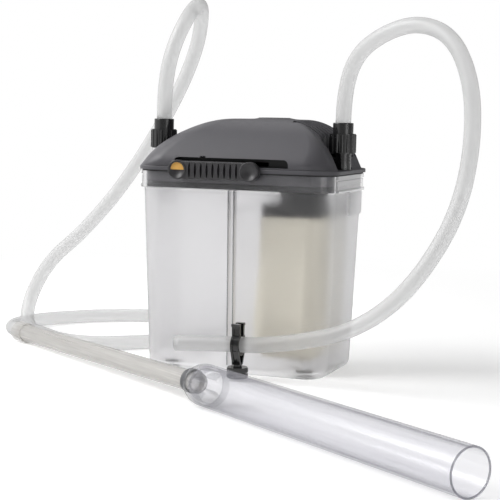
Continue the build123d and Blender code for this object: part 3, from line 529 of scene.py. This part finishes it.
def swell_bag(bag):
    """Cloth pressure fills the felt a little, the collar holds its hem, and no point moves far."""
    before = [v.co.copy() for v in bag.data.vertices]
    held = bag.vertex_groups.new(name="held")
    held.add([v.index for v in bag.data.vertices if v.co.z > BAG_TOP - BAG_HEM], 1.0, "REPLACE")
    cloth = bag.modifiers.new("cloth", "CLOTH")
    cloth.settings.quality = 6
    cloth.settings.mass = 0.35
    cloth.settings.tension_stiffness = 18
    cloth.settings.compression_stiffness = 18
    cloth.settings.bending_stiffness = 3.0
    cloth.settings.vertex_group_mass = "held"
    cloth.settings.use_pressure = True
    cloth.settings.uniform_pressure_force = 3.0
    cloth.settings.effector_weights.gravity = 0.5
    cloth.collision_settings.use_collision = False
    for frame_number in range(1, PRESSURE_FRAMES + 1):
        scene.frame_set(frame_number)
    settled = bag.evaluated_get(bpy.context.evaluated_depsgraph_get())
    after = [v.co.copy() for v in settled.data.vertices]
    bag.modifiers.clear()
    bag.vertex_groups.clear()
    scene.frame_set(1)
    for vertex, old, new in zip(bag.data.vertices, before, after):
        move = new - old
        if move.length > BAG_SWELL:
            move *= BAG_SWELL / move.length
        vertex.co = old + move


def apply_modifiers(piece):
    made = bpy.data.meshes.new_from_object(piece.evaluated_get(bpy.context.evaluated_depsgraph_get()))
    piece.modifiers.clear()
    piece.data = made


def make_bag():
    """Felt shell from the collar down its side, round the foot's curve and to the foot's middle."""
    drops = [1.06 * row / 34 for row in range(33)]
    drops += [1.0 + 0.1 * step for step in range(1, 5)]
    drops += [CURVE_END + 0.6 * step / 9 for step in range(1, 10)]
    vertices = [bag_point(turn / BAG_SIDES, drop) for drop in drops for turn in range(BAG_SIDES)]
    faces = []
    for row in range(len(drops) - 1):
        for turn in range(BAG_SIDES):
            following = (turn + 1) % BAG_SIDES
            near, far = row * BAG_SIDES, (row + 1) * BAG_SIDES
            faces.append((near + turn, near + following, far + following, far + turn))
    faces.append(tuple((len(drops) - 1) * BAG_SIDES + turn for turn in range(BAG_SIDES)))
    bag = add_object("felt_bag", vertices, faces, bag_felt, "lid")
    bag.parent = None
    swell_bag(bag)
    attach(bag, "lid")
    return bag


def seam_points(bag, turn):
    return [bag.data.vertices[row * BAG_SIDES + turn].co.copy() for row in range(*SEAM_ROWS)]


def welt(name, line, outward, radius, material):
    """Soft ridge of doubled felt along a seam."""
    points = [p + o * radius * 0.3 for p, o in zip(line, outward)]
    return hollow_tube(name, points, radius, radius * 0.4, 10, material, "lid")


bag = make_bag()
for number, turn in enumerate((0, BAG_SIDES // 2)):
    line = seam_points(bag, turn)
    outward = [(Vector((p.x, p.y, 0)) - BAG_CENTRE).normalized() for p in line]
    welt("bag_seam_%d" % (number + 1), line, outward, SEAM_RADIUS, bag_felt)
thickness = bag.modifiers.new("felt", "SOLIDIFY")
thickness.thickness = BAG_THICKNESS
thickness.offset = -1
smoother = bag.modifiers.new("smooth", "SUBSURF")
smoother.levels = 1
apply_modifiers(bag)
bag.data.shade_smooth()
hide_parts("filter_bag")


# ---- small pieces that the solids leave out ----------------------------------------------
LIP_LOW = 0.1909
LIP_HIGH = 0.1969
LIP_SIDES = 160
LIP_SIZE = (0.2038, 0.1278, 0.0199)   # width, depth and corner radius of the skirt
GUIDE_LOW = 0.010
GUIDE_HIGH = 0.1905           # where the wall meets the rim
GUIDE_X = 0.00295             # from the middle to each rib
WALL_AT_FOOT = 0.0605         # outside of the wall, at its foot
WALL_SPREAD = 0.006           # how much farther out it is at the rim


def make_lip():
    """Rubber lip under the lid's skirt, seen through the rim."""
    rows = [(0.0, 0.0006), (0.0, 0.0024), (0.35, 0.0030), (0.8, 0.0026), (1.0, 0.0018),
            (1.0, 0.0004), (0.7, 0.0)]
    vertices, faces = [], []
    for share, inset in rows:
        width, depth, radius = LIP_SIZE[0] - 2 * inset, LIP_SIZE[1] - 2 * inset, LIP_SIZE[2] - inset
        for turn in range(LIP_SIDES):
            x, y = rounded_outline(width, depth, radius, turn / LIP_SIDES)
            vertices.append(Vector((x, y, LIP_HIGH + (LIP_LOW - LIP_HIGH) * share)))
    for row in range(len(rows)):
        near, far = row * LIP_SIDES, (row + 1) % len(rows) * LIP_SIDES
        for turn in range(LIP_SIDES):
            following = (turn + 1) % LIP_SIDES
            faces.append((near + turn, near + following, far + following, far + turn))
    lip = add_object("skirt_lip", vertices, faces, seal_rubber, "lid")


def make_guide_line(name, x, front):
    """Narrow raised rib down the outside of the wall, where a partition guide stands behind it."""
    half, proud = 0.0008, 0.0004
    side = -1 if front else 1
    rows = []
    for z in (GUIDE_LOW, GUIDE_HIGH):
        wall = (WALL_AT_FOOT + WALL_SPREAD * (z / GUIDE_HIGH)) * side
        rows.append([(x - half, wall - 0.0004 * side, z), (x - half * 0.5, wall + proud * side, z),
                     (x + half * 0.5, wall + proud * side, z), (x + half, wall - 0.0004 * side, z)])
    vertices = [Vector(p) for row in rows for p in row]
    faces = [(i, (i + 1) % 4, 4 + (i + 1) % 4, 4 + i) for i in range(4)] + [(0, 1, 2, 3), (4, 5, 6, 7)]
    rib = add_object(name, vertices, faces, rib_grey, "container", smooth=False)


def make_mouth_edge():
    """Polished grey edge round the wide tube's mouth."""
    back = Vector((math.cos(WAND_HEADING), math.sin(WAND_HEADING), 0))
    side = Vector((-back.y, back.x, 0))
    low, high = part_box("wand_tube")
    middle = Vector((0.3245, -0.4245, (low[2] + high[2]) / 2)) + back * 0.0009
    sides, around = 96, 10
    reach, thick = 0.0188, 0.00079
    vertices, faces = [], []
    for step in range(sides):
        turn = 2 * math.pi * step / sides
        out = side * math.cos(turn) + Vector((0, 0, math.sin(turn)))
        for part in range(around):
            bend = 2 * math.pi * part / around
            vertices.append(middle + out * (reach + thick * math.cos(bend)) + back * thick * math.sin(bend))
    for step in range(sides):
        for part in range(around):
            ahead_step, ahead_part = (step + 1) % sides, (part + 1) % around
            faces.append((step * around + part, ahead_step * around + part,
                          ahead_step * around + ahead_part, step * around + ahead_part))
    edge = add_object("mouth_edge", vertices, faces, edge_grey, "container")


make_lip()
make_mouth_edge()
for front in (True, False):
    for side, x in (("left", -GUIDE_X), ("right", GUIDE_X)):
        make_guide_line("guide_line_%s_%s" % ("front" if front else "back", side), x, front)


# ---- floor, backdrop and light -----------------------------------------------------------
FLOOR_HALF = 14.0
FLOOR_NEAR = 0.55
FLOOR_FAR = 1.1
WORLD_LEVEL = 0.33
FLOOR_LIFT = 0.36             # added to the lit floor for rays that show it


def seen_rays(s):
    """1 for rays that show the background: straight, mirrored or through glass."""
    path = s.node("LightPath")
    mirrored = s.maths("MAXIMUM", path.outputs["Is Glossy Ray"], path.outputs["Is Transmission Ray"])
    return s.maths("MAXIMUM", path.outputs["Is Camera Ray"], mirrored)


def make_floor():
    """White floor that keeps the object's soft shadow and goes over into the white backdrop."""
    corners = [(-FLOOR_HALF, -FLOOR_HALF, 0), (FLOOR_HALF, -FLOOR_HALF, 0), (FLOOR_HALF, FLOOR_HALF, 0),
               (-FLOOR_HALF, FLOOR_HALF, 0)]
    mesh = bpy.data.meshes.new("floor")
    mesh.from_pydata(corners, [], [(0, 1, 2, 3)])
    s = new_shader("floor_white")
    seen = seen_rays(s)
    matt = s.node("BsdfDiffuse", Color=(0.80, 0.80, 0.80, 1))
    lift = s.node("Emission", Color=(1, 1, 1, 1), Strength=s.maths("MULTIPLY", seen, FLOOR_LIFT))
    near = s.node("AddShader")
    s.tree.links.new(matt.outputs[0], near.inputs[0])
    s.tree.links.new(lift.outputs[0], near.inputs[1])
    backdrop = s.node("Emission", Color=(1, 1, 1, 1), Strength=s.spread(seen, WORLD_LEVEL, 1.0, 0.0, 1.0))
    distance = s.node("VectorMath", Vector=s.where())
    distance.operation = "LENGTH"
    fade = s.spread(distance.outputs["Value"], 0.0, 1.0, FLOOR_NEAR, FLOOR_FAR)
    mesh.materials.append(s.show(s.blend(fade, near.outputs[0], backdrop.outputs[0])))
    floor = bpy.data.objects.new("floor", mesh)
    scene.collection.objects.link(floor)


def make_world():
    """White for what shows it, a plain level for light, and brighter from the left in reflections."""
    world = bpy.data.worlds.new("world")
    scene.world = world
    s = Shader(world, "OutputWorld")
    path = s.node("LightPath")
    direction = s.node("TexCoord").outputs["Generated"]
    sideways = s.node("SeparateXYZ", Vector=direction)
    left = s.spread(sideways.outputs["X"], 1.1, 0.11, -0.62, -0.28)
    strip = s.maths("COMPARE", sideways.outputs["X"], 0.62)
    strip.node.inputs[2].default_value = 0.07
    studio = s.maths("MAXIMUM", left, s.maths("MULTIPLY", strip, 0.75))
    studio = s.maths("MAXIMUM", studio, s.spread(sideways.outputs["Z"], 0.0, 0.8, 0.70, 0.95))
    light = s.spread(path.outputs["Is Glossy Ray"], WORLD_LEVEL, 0.0, 0.0, 1.0)
    light = s.maths("ADD", light, s.maths("MULTIPLY", path.outputs["Is Glossy Ray"], studio))
    seen = s.maths("MAXIMUM", path.outputs["Is Camera Ray"], path.outputs["Is Transmission Ray"])
    back = s.node("Background", Color=(1, 1, 1, 1), Strength=s.maths("MAXIMUM", light, seen))
    s.show(back.outputs[0])


def add_lamp(name, place, target, size, power):
    data = bpy.data.lights.new(name, "AREA")
    data.shape = "RECTANGLE"
    data.size, data.size_y = size
    data.energy = power
    lamp = bpy.data.objects.new(name, data)
    lamp.location = place
    lamp.rotation_euler = (Vector(target) - Vector(place)).to_track_quat("-Z", "Y").to_euler()
    scene.collection.objects.link(lamp)


make_floor()
make_world()
add_lamp("key", (-1.8, -0.8, 1.8), (0, 0, 0.15), (1.6, 1.6), 58)
add_lamp("low", (1.7, -0.9, 0.3), (0.05, 0, 0.1), (1.0, 0.5), 3)
add_lamp("top", (-0.3, 1.1, 1.9), (0, 0, 0.1), (1.6, 1.2), 5)
